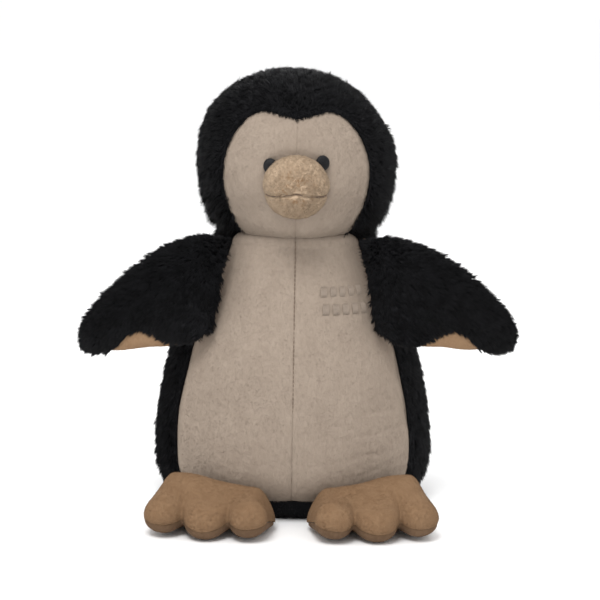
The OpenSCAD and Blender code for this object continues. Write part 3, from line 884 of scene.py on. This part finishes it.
def face_panel(side_name, material):
    side = SIDES[side_name]
    t, s = lattice(np.linspace(-0.15, 1, 120), np.linspace(0, 1, 90))
    d = face_dir(s, t) * [side, 1, 1]
    grid = head_point(d)
    normals = unit(grid - HEAD_CENTRE)
    x, z = np.abs(grid[..., 0]), grid[..., 2] - HEAD_CENTRE[2]
    from_edge = np.minimum(from_column(grid, -1), np.linalg.norm(grid - grid[-1:], axis=-1))
    tucked = -1.0 * MM * bell(from_edge, 2.5 * MM)
    seam = -0.25 * MM * bell(x, 0.8 * MM) - 0.35 * MM * bell(x, 4 * MM)
    from_beak = np.linalg.norm(grid - BEAK_CENTRE, axis=-1) - BEAK_R
    round_beak = -1.4 * MM * bell(from_beak, 4 * MM)
    cheeks = 2.0 * MM * bell(x - 30 * MM, 15 * MM) * bell(z + 20 * MM, 16 * MM)
    eye = eye_middle(side_name)
    eye_dent = -1.1 * MM * bell(np.linalg.norm(grid - eye, axis=-1), 7 * MM)
    chin = 4.6 * MM * bell(z + 41 * MM, 9 * MM) * bell(x, 46 * MM)
    dimple = -1.2 * MM * bell(x, 2.5 * MM) * bell(z + 38 * MM, 8 * MM)
    outer = sagged(grid, normals, 41, tucked + seam + round_beak + cheeks + eye_dent + chin + dimple)
    obj = shell(f"face_{side_name}_cloth", outer, grid - normals * SHEET)
    dress(obj, material["cream"], "cream_pile", "head", f"face_{side_name}", fill=0.9)
    rng = np.random.default_rng(43 + side)
    clear = (from_beak > -1.5 * MM) & (np.linalg.norm(grid - eye, axis=-1) > 4 * MM)

    def comb(roots, facing):
        across = 0.35 * noise(roots, 13 * MM, 45)
        swirl = np.stack([across, 0 * across, 0.3 * noise(roots, 11 * MM, 46)], 1)
        return unit(roots - BEAK_CENTRE) * 0.9 + np.array([0, 0, -0.5]) + swirl

    fur = short_nap(f"face_{side_name}_nap", outer, normals, 22000, comb, 1.2 * MM, 0.20 * MM, rng, clear)
    return dress(fur, material["cream_fur"], "cream_pile", "head")


# How far the crown leans to the toy's right
HOOD_LEAN = 4.0 * MM


def hood_panel(side_name, material):
    side = SIDES[side_name]
    w, s = lattice(np.linspace(0, 1, 110), np.linspace(0, 1, 80))
    d = hood_dir(s, w)
    d[..., 0] = np.maximum(d[..., 0], 0)
    grid = head_point(d * [side, 1, 1])
    normals = unit(grid - HEAD_CENTRE)
    high_up = smooth_step(grid[..., 2], HEAD_CENTRE[2] + 8 * MM, HEAD_CENTRE[2] + 45 * MM)
    lean = -HOOD_LEAN * normals[..., 0] * high_up * smooth_step(s, 0.0, 0.15)
    outer = sagged(grid, normals, 51, lean)
    obj = shell(f"hood_{side_name}_cloth", outer, grid - normals * SHEET)
    dress(obj, material["black_cloth"], "black_base", "head", f"hood_{side_name}", fill=0.9)
    rng = np.random.default_rng(61 + side)
    roots, facing, _, across = scatter(outer, normals, LONG_PILE_COUNT, rng)
    near_face = smooth_step(across, 0.13, 0.0)
    fringe = smooth_step(across, 0.045, 0.01)
    face_way = np.array([0, -1.0, -0.1])
    away = -unit(face_way - facing * dot(facing, face_way)[:, None])
    comb = np.array([0, 0, -0.55]) + away * (0.5 + 0.5 * near_face - 1.7 * fringe)[:, None]
    low_side = smooth_step(roots[:, 2], HEAD_CENTRE[2] - 5 * MM, HEAD_CENTRE[2] - 35 * MM)
    crown = bell(np.linalg.norm(roots[:, :2] - [-8 * MM, -12 * MM], axis=1), 32 * MM) * (facing[:, 2] > 0)
    length = 7.6 * MM * (1 + 0.9 * low_side - 0.25 * crown - 0.30 * near_face - 0.12 * fringe)
    lift = 44 + 8 * near_face + 4 * low_side - 12 * fringe
    return black_pile(f"hood_{side_name}_fur", roots, facing, comb, length, lift, rng, "head", material,
                      tuft=12, gather=0.3, uneven=0.6)


def hood_neck(side_name, material):
    """The edge of the hood that turns in under the head."""
    side = SIDES[side_name]
    z, turn = lattice(np.linspace(-0.94, -0.735, 24), np.linspace(46, 180, 70))
    grid = head_point(neck_dir(turn, z) * [side, 1, 1], -0.8 * MM + 0 * turn)
    normals = unit(grid - HEAD_CENTRE)
    obj = shell(f"hood_{side_name}_neck", sagged(grid, normals, 55, 0), grid - normals * SHEET)
    return dress(obj, material["black_cloth"], "black_base", "head", fill=0.9)


# ---- Eyes and beak ----------------------------------------------------------------------------------

# Turn round each eye, from the toy's left, at which it is drawn to a point and at which it is cut short
EYE_POINT_AT = {"left": 250, "right": 262}
EYE_CUT_AT = {"left": 212, "right": 335}
EYE_HALF_WIDTH = 4.6 * MM
EYE_HALF_HEIGHT = 5.0 * MM
STITCH_PITCH = 0.42 * MM


def eye_patch(side_name, material):
    """A satin-stitched eye: a domed drop with its point below."""
    middle = eye_middle(side_name)
    out = unit(middle - HEAD_CENTRE)
    right = unit(np.cross(np.array([0, 0, 1.0]), out))
    up = np.cross(out, right)
    r, turn = lattice(np.linspace(0.02, 1, 30), np.linspace(0, 360, 97))
    point = bell((turn - EYE_POINT_AT[side_name] + 180) % 360 - 180, 24)
    cut = bell((turn - EYE_CUT_AT[side_name] + 180) % 360 - 180, 40)
    stretch = 1 + 0.30 * point - 0.13 * cut
    x = r * cos(turn) * EYE_HALF_WIDTH * stretch
    z = r * sin(turn) * EYE_HALF_HEIGHT * stretch
    stitch = 0.09 * MM * np.sin((x + 0.25 * z) / STITCH_PITCH * 2 * np.pi)
    dome = 1.5 * MM * np.sqrt(np.maximum(0, 1 - r ** 2)) + stitch * (1 - r ** 6)
    bend = (x ** 2 + z ** 2) / (2 * HEAD_R)
    base = middle + out * 0.6 * MM - right * SIDES[side_name] * 0.6 * MM
    flat = base + right * x[..., None] + up * z[..., None]
    grid = flat + out * (dome - bend)[..., None]
    inner = flat - out * (0.9 * MM + bend)[..., None]
    obj = shell(f"eye_{side_name}_embroidery", grid, inner)
    return dress(obj, material["eye"], "eye_embroidery", "head", f"eye_{side_name}")


MOUTH_DROOP = 13
MOUTH_DIP = -8.5


def beak_frame():
    """Directions out of the mouth's middle, to the toy's left, and up."""
    out = np.array([0, -cos(MOUTH_DIP), sin(MOUTH_DIP)])
    left = np.array([1.0, 0, 0])
    return out, left, np.array([0, sin(MOUTH_DIP), cos(MOUTH_DIP)])


def beak_point(psi, omega, out=0.0):
    """psi is the angle from the mouth's middle, omega the turn round it from the toy's left."""
    forward, left, up = beak_frame()
    ring = left * 1.05 * cos(omega)[..., None] + up * sin(omega)[..., None]
    d = forward * cos(psi)[..., None] + ring * sin(psi)[..., None]
    return BEAK_CENTRE + d * (BEAK_R + np.asarray(out))[..., None], d


def beak_grid(upper):
    start, end = (-MOUTH_DROOP, 180 + MOUTH_DROOP) if upper else (180 + MOUTH_DROOP, 360 - MOUTH_DROOP)
    psi, omega = lattice(np.linspace(1.2, 118, 90), np.linspace(start, end, 130 if upper else 100))
    grid, d = beak_point(psi, omega)
    return psi, grid, d


def beak_panel(upper, material):
    psi, grid, d = beak_grid(upper)
    to_mouth = np.minimum(from_column(grid, 0), from_column(grid, -1))
    groove = -1.3 * MM * bell(to_mouth, 1.0 * MM) - 0.7 * MM * bell(to_mouth, 3.5 * MM)
    crushed = smooth_step(psi, 55, 25)
    ruffle = crushed * (0.6 * MM * np.abs(noise(grid, 4.2 * MM, 71)) + 0.2 * MM * noise(grid, 1.8 * MM, 73))
    outer = grid + d * (groove + ruffle + 0.3 * MM * noise(grid, 9 * MM, 75))[..., None]
    name = "upper" if upper else "lower"
    obj = shell(f"beak_{name}_cloth", outer, grid - d * SHEET)
    dress(obj, material["beak"], "beak_pile", "head", f"beak_{name}", fill=0.9)
    rng = np.random.default_rng(81 + upper)
    roots, facing, down, _ = scatter(outer, d, 15000 if upper else 9500, rng)
    out_from_mouth = unit(roots - (BEAK_CENTRE + beak_frame()[0] * BEAK_R))
    whirl = np.cross(facing, out_from_mouth)
    middle = smooth_step(down * 118, 60, 25)
    turning = (noise(roots, 5 * MM, 77) * (0.3 + 1.2 * middle))[:, None]
    comb = out_from_mouth + whirl * turning
    length = 1.8 * MM + 1.0 * MM * middle
    fur = pile(f"beak_{name}_fur", roots, facing, comb, length, 0.28 * MM, 36, rng,
               tuft=12, gather=0.1, scatter_angle=0.22, droop=0.05, sunk=0.4 * MM, uneven=0.7)
    return dress(fur, material["beak_fur"], "beak_pile", "head")


def mouth_stitches(material):
    """A line of stitches along the mouth, across the front of the beak."""
    psi = np.concatenate([np.linspace(84, 0, 26), np.linspace(0, 84, 26)[1:]])
    omega = np.concatenate([np.full(26, 180 + MOUTH_DROOP), np.full(25, -MOUTH_DROOP)])
    line, d = beak_point(psi, omega, -1.3 * MM + 0 * psi)
    obj = capsules("mouth_stitches", line[:-1], line[:-1] + (line[1:] - line[:-1]) * 0.9, d[:-1],
                   0.8 * MM, 0.4 * MM)
    return dress(obj, material["seam"], "seam_thread", "head", "mouth_thread")


# ---- Wings ------------------------------------------------------------------------------------------

# How far the underside wraps round the lower edge, in degrees, and where along the wing it does
UNDER_WRAP = 60
WRAP_START = 0.2
WRAP_LENGTH = 0.66
# For each side, how much lower the wing's tip hangs, and how much nearer the body, than in the CAD
WING_DROOP = {1: (-3 * MM, -1 * MM), -1: (3 * MM, 4 * MM)}
WING_CLOTH = 1.2 * MM
# How far out from the outlines of wings and feet their stuffing lies; below zero is inside
STUFFING_DEPTH = -2.2 * MM


def wing_edge(points, u):
    p = curve(points, u)
    return np.stack([p[..., 0] * WING_REACH, p[..., 1] * MM, p[..., 2] * MM], -1)


def wing_seam(u):
    return 180 - UNDER_WRAP * sin(180 * np.clip((u - WRAP_START) / WRAP_LENGTH, 0, 1)) ** 2


def wing_point(u, a, out=0.0):
    """Place at share u of the wing's span and at angle a from its upper edge over its front."""
    upper = wing_edge(WING_UPPER, u)
    lower = wing_edge(WING_LOWER, u)
    half = (upper - lower) / 2
    half_length = np.linalg.norm(half, axis=-1)
    step = 0.02
    span = (wing_edge(WING_UPPER, u + step) + wing_edge(WING_LOWER, u + step)
            - wing_edge(WING_UPPER, u - step) - wing_edge(WING_LOWER, u - step))
    front = unit(np.cross(span, half))
    thick = curve(WING_THICKNESS, u)[..., 0] * WING_T / 2
    return ((upper + lower) / 2 + half * ((1 + out / half_length) * cos(a))[..., None]
            + front * ((thick + out) * sin(a))[..., None])


def wing_grid(side, start, end, rows, cols, span=(0, 1), depth=0.0):
    """Part of a wing between two angles, closed at the tip and run into the torso at the root."""
    u, share = lattice(np.linspace(*span, rows), np.linspace(0, 1, cols))
    a = start(u) + (end(u) - start(u)) * share
    grid = wing_point(u, a, 0 * u - depth)
    normals = wing_point(u, a, MM - depth + 0 * u) - grid
    normals = unit(normals)
    middle = (wing_edge(WING_UPPER, u) + wing_edge(WING_LOWER, u)) / 2
    closing = smooth_step(u, 0.965, 1.0)[..., None]
    grid = grid + (middle - grid) * closing * 0.9
    root = smooth_step(u, 0.06, 0.0)[..., None]
    grid = grid + np.array([-1 * MM, 7 * MM, 0]) * root
    out = np.clip(grid[..., 0] / WING_REACH - WING_UPPER[0, 0], 0, 1) / (1 - WING_UPPER[0, 0])
    droop, shortening = WING_DROOP[side]
    grid = grid - np.stack([shortening * out, 0 * out, droop * out ** 1.3], -1)
    return grid * [side, 1, 1], normals * [side, 1, 1]


def wing(side_name, material):
    side = SIDES[side_name]
    body = f"wing_{side_name}"
    joint = joints[f"wing_{side_name}_swing"]["pos_m"]
    start = np.array(joint) + [-4 * MM * side, 8 * MM, 0]
    end = np.array(joint) + [7 * MM * side, -1 * MM, 0]
    across_root = ("torso", body, tuple(start), tuple(end))
    top, top_n = wing_grid(side, lambda u: 0 * u + 0.5, lambda u: wing_seam(u) - 1, 100, 76)
    outer = top + top_n * lumps(top, 91)[..., None]
    obj = shell(f"wing_{side_name}_top_cloth", outer, top - top_n * WING_CLOTH)
    dress(obj, material["black_cloth"], "black_base", across_root, f"wing_{side_name}_top", fill=0.7)
    under, under_n = wing_grid(side, lambda u: wing_seam(u) + 1, lambda u: 0 * u + 359.5, 100, 90)
    tucked = -0.8 * MM * bell(from_column(under, 0), 2 * MM)
    under_outer = under + under_n * (lumps(under, 95) + tucked)[..., None]
    obj = shell(f"wing_{side_name}_under_cloth", under_outer, under - under_n * WING_CLOTH)
    # The underside's tan is painted lighter than the feet's, as painted light against the shade under the
    # wing
    dress(obj, material["tan"], "tan_pile", across_root, f"wing_{side_name}_under", fill=0.7)
    towards_tip = np.array([0.8 * side, 0, -0.6])
    # Its nap takes the same lighter tan, painted light against the shade under the wing
    nap = short_nap(f"wing_{side_name}_under_nap", under_outer, under_n, 11000,
                    lambda roots, facing: towards_tip + 0 * roots, 1.4 * MM, 0.24 * MM,
                    np.random.default_rng(98 + side))
    dress(nap, material["tan_fur"], "tan_pile", across_root)
    wing_fur(side_name, outer, top_n, across_root, material)
    filled, _ = wing_grid(side, lambda u: 0 * u, lambda u: 0 * u + 360, 60, 61,
                          span=(0.05, 0.93), depth=-STUFFING_DEPTH)
    stuffing = ring_solid(f"wing_{side_name}_stuffing", filled[:, :-1])
    dress(stuffing, material["stuffing"], "stuffing", across_root, f"wing_{side_name}_fill", fill=0.7)


def wing_fur(side_name, outer, normals, across_root, material):
    side = SIDES[side_name]
    rng = np.random.default_rng(101 + side)
    roots, facing, along, over = scatter(outer, normals, LONG_PILE_COUNT, rng)
    towards_tip = np.array([0.75 * side, 0.1, -0.15])
    comb = towards_tip * smooth_step(along, 0.0, 0.35)[:, None] + np.array([0.1 * side, 0, -0.7])
    edge = smooth_step(over, 0.86, 1.0)
    upper = smooth_step(over, 0.10, 0.0)
    tip = smooth_step(along, 0.8, 1.0)
    root = smooth_step(along, 0.2, 0.0)
    length = 8.0 * MM * (1 - 0.25 * tip - 0.25 * edge - 0.2 * root - 0.3 * upper)
    lift = 33 - 5 * upper - 8 * edge - 6 * tip
    return black_pile(f"wing_{side_name}_fur", roots, facing, comb, length, lift, rng, across_root,
                      material, tuft=12, gather=0.35, uneven=0.7)


# ---- Feet -------------------------------------------------------------------------------------------

FOOT_PIVOT = np.array(joints["foot_left_lift"]["pos_m"])
FOOT_SPLAY = math.degrees(math.asin(-joints["foot_left_lift"]["axis"][1]))
FOOT_LIFT = low("foot_left_sole")[2]
HEEL_R = FOOT_PIVOT[2] - FOOT_LIFT
TOE_R = HEEL_R * 0.68
TOE_Z = TOE_R + FOOT_LIFT
FOOT_W = 81 * MM
FOOT_L = 58 * MM
# Middle and half width of each toe, as shares of half the foot's width, and how far it reaches
TOES = ((-0.69, 0.32, 0.86), (0, 0.37, 1.0), (0.69, 0.32, 0.86))
TOE_VALLEY = 0.35
TOE_SOFTNESS = 5
# Share of half the width where the foot's ends begin to round off
END_FROM = 0.68
# Least radius of any cloth, so that its inner face never turns inside out
LEAST_R = 0.2 * MM
# Height of the foot's root from its inner side to its outer, as shares of its height
HEEL_SHARES = np.array([[0.62], [0.80], [0.84], [0.88], [0.94], [1.02], [1.06], [1.04], [0.86]])
FOOT_CLOTH = 1.2 * MM
SOLE_FROM = 203
SOLE_TO = 337


def toe_shape(x):
    """How far the toes reach at x, as a share of the longest, with soft creases between them."""
    total = np.full(x.shape, TOE_VALLEY ** TOE_SOFTNESS)
    for middle, half_width, reach in TOES:
        d = np.clip(np.abs((x - middle) / half_width), 0, 1)
        total = total + (np.sqrt(1 - d * d) * reach) ** TOE_SOFTNESS
    return np.minimum(total ** (1 / TOE_SOFTNESS), 1)


def between(least, fullness):
    return least + (1 - least) * fullness


def foot_point(x, a, out):
    """Place at share x of the foot's half width, facing angle a from straight ahead over the top.
    Between the toes the front is thinner, lower and further back. The end toes are the fuller ones."""
    toe = toe_shape(np.clip(x, TOES[0][0], TOES[2][0]))
    rounded = np.sqrt(1 - np.clip((np.abs(x) - END_FROM) / (1 - END_FROM), 0, 0.999) ** 2)
    heel = HEEL_R * curve(HEEL_SHARES, (x + 1) / 2)[..., 0] * between(0.03, rounded)
    rear_r = np.maximum(heel + out, LEAST_R)
    end_toe = 1 + 0.2 * smooth_step(x, 0.2, 0.8) + 0.22 * smooth_step(x, -0.25, -0.8)
    toe_r = TOE_R * between(0.42, toe) * between(0.03, rounded) * end_toe
    front_r = np.maximum(toe_r + out, LEAST_R)
    reach = (FOOT_L - HEEL_R) * between(0.58, toe) * between(0.72, rounded)
    top = (TOE_Z + TOE_R) * between(0.88, toe) * between(0.5, rounded) * end_toe
    d = np.stack([-cos(a), sin(a)], -1)
    rear = np.stack([0 * x, heel + FOOT_LIFT + 5 * MM * (1 - rounded)], -1)
    front = np.stack([-(reach - toe_r), top - toe_r], -1)
    ahead = dot(front, d) + front_r > dot(rear, d) + rear_r
    c = np.where(ahead[..., None], front + front_r[..., None] * d, rear + rear_r[..., None] * d)
    return np.stack([x * FOOT_W / 2, c[..., 0], np.maximum(c[..., 1], FOOT_LIFT - np.minimum(out, 0))], -1)


def foot_place(grid, side):
    turn = side * FOOT_SPLAY
    x = grid[..., 0] * cos(turn) - grid[..., 1] * sin(turn)
    y = grid[..., 0] * sin(turn) + grid[..., 1] * cos(turn)
    return np.stack([x, y, grid[..., 2]], -1) + FOOT_PIVOT * [side, 1, 0]


def even_spacing(grid, cols):
    """The same rows, each with cols points spread evenly along it."""
    steps = np.linalg.norm(np.diff(grid, axis=1), axis=-1)
    travelled = np.concatenate([0 * steps[:, :1], np.cumsum(steps, axis=1)], 1)
    shares = np.linspace(0, 1, cols)
    return np.array([np.stack([np.interp(shares * way[-1], way, row[:, k]) for k in range(3)], -1)
                     for row, way in zip(grid, travelled)])


def foot_panel(side, start, end, rows, cols):
    """Outer and inner grids of part of a foot between two angles, and the outer one's normals."""
    x, a = lattice(np.sin(np.linspace(-np.pi / 2, np.pi / 2, rows)) * 0.9995, np.linspace(start, end, 400))
    layers = [even_spacing(foot_place(foot_point(x, a, 0 * x + out) * [side, 1, 1], side), cols)
              for out in (0, -FOOT_CLOTH)]
    middle = FOOT_PIVOT * [side, 1, 1] + [0, -15 * MM, 0]
    return layers[0], layers[1], grid_normals(layers[0], middle)


def foot(side_name, material):
    side = SIDES[side_name]
    body = f"foot_{side_name}"
    pivot = FOOT_PIVOT * [side, 1, 1]
    ahead = np.array([sin(side * FOOT_SPLAY), -1, 0])
    across_root = ("torso", body, tuple(pivot - ahead * 19 * MM), tuple(pivot - ahead * 9 * MM))
    grid, inner, normals = foot_panel(side, SOLE_TO - 360, SOLE_FROM, 150, 110)
    from_seam = from_column(grid, 0)
    tucked = -0.7 * MM * bell(from_seam, 1.6 * MM)
    outer = grid + normals * (tucked + 0.6 * lumps(grid, 111 + side))[..., None]
    outer[..., 2] = np.maximum(outer[..., 2], 0.4 * MM)
    obj = shell(f"foot_{side_name}_upper_cloth", outer, inner)
    dress(obj, material["foot"], "tan_pile", across_root, f"foot_{side_name}_upper", fill=0.8)

    def comb(roots, facing):
        across = 0.8 * noise(roots, 12 * MM, 113)
        return np.stack([across, -0.9 + 0 * across, -0.3 + 0 * across], 1)

    nap = short_nap(f"foot_{side_name}_nap", outer, normals, 26000, comb, 1.4 * MM, 0.24 * MM,
                    np.random.default_rng(115 + side))
    dress(nap, material["foot_fur"], "tan_pile", across_root)
    grid, inner, normals = foot_panel(side, SOLE_FROM, SOLE_TO, 150, 50)
    from_seam = np.minimum(from_column(grid, 0), from_column(grid, -1))
    tucked = -0.7 * MM * bell(from_seam, 2.5 * MM)
    outer = grid + normals * (tucked + 0.25 * lumps(grid, 121 + side))[..., None]
    outer[..., 2] = np.maximum(outer[..., 2], 0.3 * MM)
    obj = shell(f"foot_{side_name}_sole_cloth", outer, inner)
    dress(obj, material["sole"], "sole_pile", across_root, f"foot_{side_name}_sole", fill=0.8)
    foot_stuffing(side_name, across_root, material)


def foot_stuffing(side_name, across_root, material):
    """Stuffing that fills the toes, just inside the cloth."""
    side = SIDES[side_name]
    x, a = lattice(np.sin(np.linspace(-1.25, 1.25, 60)), np.linspace(0, 360, 400))
    grid = foot_place(foot_point(x, a, STUFFING_DEPTH + 0 * x) * [side, 1, 1], side)
    grid = even_spacing(grid, 61)[:, :-1]
    obj = ring_solid(f"foot_{side_name}_stuffing", grid)
    return dress(obj, material["stuffing"], "stuffing", across_root, f"foot_{side_name}_fill", fill=0.8)


# ---- What is inside -----------------------------------------------------------------------------------

def finish_inside(material):
    """Give the other stuffing and the bead pouch, which stay as they are, their own materials."""
    for name, node in nodes.items():
        kept = not name.startswith(("foot_", "wing_"))
        if name == "bean_bag" or kept and name.endswith("_fill"):
            pouch = name == "bean_bag"
            node.data.materials.clear()
            node.data.materials.append(material["pouch" if pouch else "stuffing"])


# ---- Camera, floor and light ----------------------------------------------------------------------------

CAMERA_AIM = Vector((0.0036, 0, 0.1387))
CAMERA_DISTANCE = 1.3
CAMERA_ELEVATION = math.radians(9)
CAMERA_ROLL = math.radians(0.9)
CAMERA_LENS = 112.2
# Half the width of the floor, in metres
FLOOR_HALF = 80
FLOOR_WHITE = 0.97
SKY_STRENGTH = 1.04
LIT_MIDDLE = (0, 0, 0.14)


def make_camera():
    data = bpy.data.cameras.new("camera")
    data.sensor_width = 36
    data.lens = CAMERA_LENS
    camera = bpy.data.objects.new("camera", data)
    bpy.context.scene.collection.objects.link(camera)
    backward = Vector((0, -math.cos(CAMERA_ELEVATION), math.sin(CAMERA_ELEVATION)))
    camera.location = CAMERA_AIM + backward * CAMERA_DISTANCE
    upright = Matrix.Rotation(math.pi / 2 - CAMERA_ELEVATION, 3, "X")
    camera.rotation_euler = (upright @ Matrix.Rotation(CAMERA_ROLL, 3, "Z")).to_euler()
    bpy.context.scene.camera = camera


def make_floor():
    """A wide, flat, pale floor."""
    across = np.linspace(-FLOOR_HALF, FLOOR_HALF, 9)
    x, y = lattice(across, across)
    verts = np.stack([x, y, 0 * x], -1).reshape(-1, 3)
    index = np.arange(len(verts)).reshape(x.shape)
    quads = np.stack([index[:-1, :-1], index[1:, :-1], index[1:, 1:], index[:-1, 1:]], -1).reshape(-1, 4)
    uvs = verts[quads.ravel()][:, :2] / (2 * FLOOR_HALF) + 0.5
    floor = mesh_object("floor", verts, quads, np.zeros((0, 3), int), uvs)
    material, _, shader = new_material("floor_paper", 0.9, 0.1)
    shader.inputs["Base Color"].default_value = (FLOOR_WHITE, FLOOR_WHITE, FLOOR_WHITE, 1)
    floor.data.materials.append(material)


def soft_light(name, place, aim, size, power):
    data = bpy.data.lights.new(name, "AREA")
    data.shape = "DISK"
    data.size = size
    data.energy = power
    light = bpy.data.objects.new(name, data)
    bpy.context.scene.collection.objects.link(light)
    light.location = place
    light.rotation_euler = (Vector(aim) - Vector(place)).to_track_quat("-Z", "Y").to_euler()


def make_light():
    world = bpy.data.worlds.new("studio")
    bpy.context.scene.world = world
    world.use_nodes = True
    world.node_tree.nodes["Background"].inputs["Color"].default_value = (1, 1, 1, 1)
    world.node_tree.nodes["Background"].inputs["Strength"].default_value = SKY_STRENGTH
    soft_light("key", (-0.3, -1.2, 1.9), LIT_MIDDLE, size=1.0, power=30)
    soft_light("back", (0.3, 1.2, 1.2), LIT_MIDDLE, size=0.8, power=6)
    bpy.context.scene.view_settings.view_transform = "Standard"


# ---- Build ----------------------------------------------------------------------------------------------

make_camera()
make_floor()
make_light()
material = make_materials()
for side_name in SIDES:
    belly_panel(side_name, material)
    back_panel(side_name, material)
    face_panel(side_name, material)
    hood_panel(side_name, material)
    hood_neck(side_name, material)
    eye_patch(side_name, material)
    wing(side_name, material)
    foot(side_name, material)
base_shell(material)
belly_thread(material)
chest_stitches(material)
for upper in (True, False):
    beak_panel(upper, material)
mouth_stitches(material)
finish_inside(material)
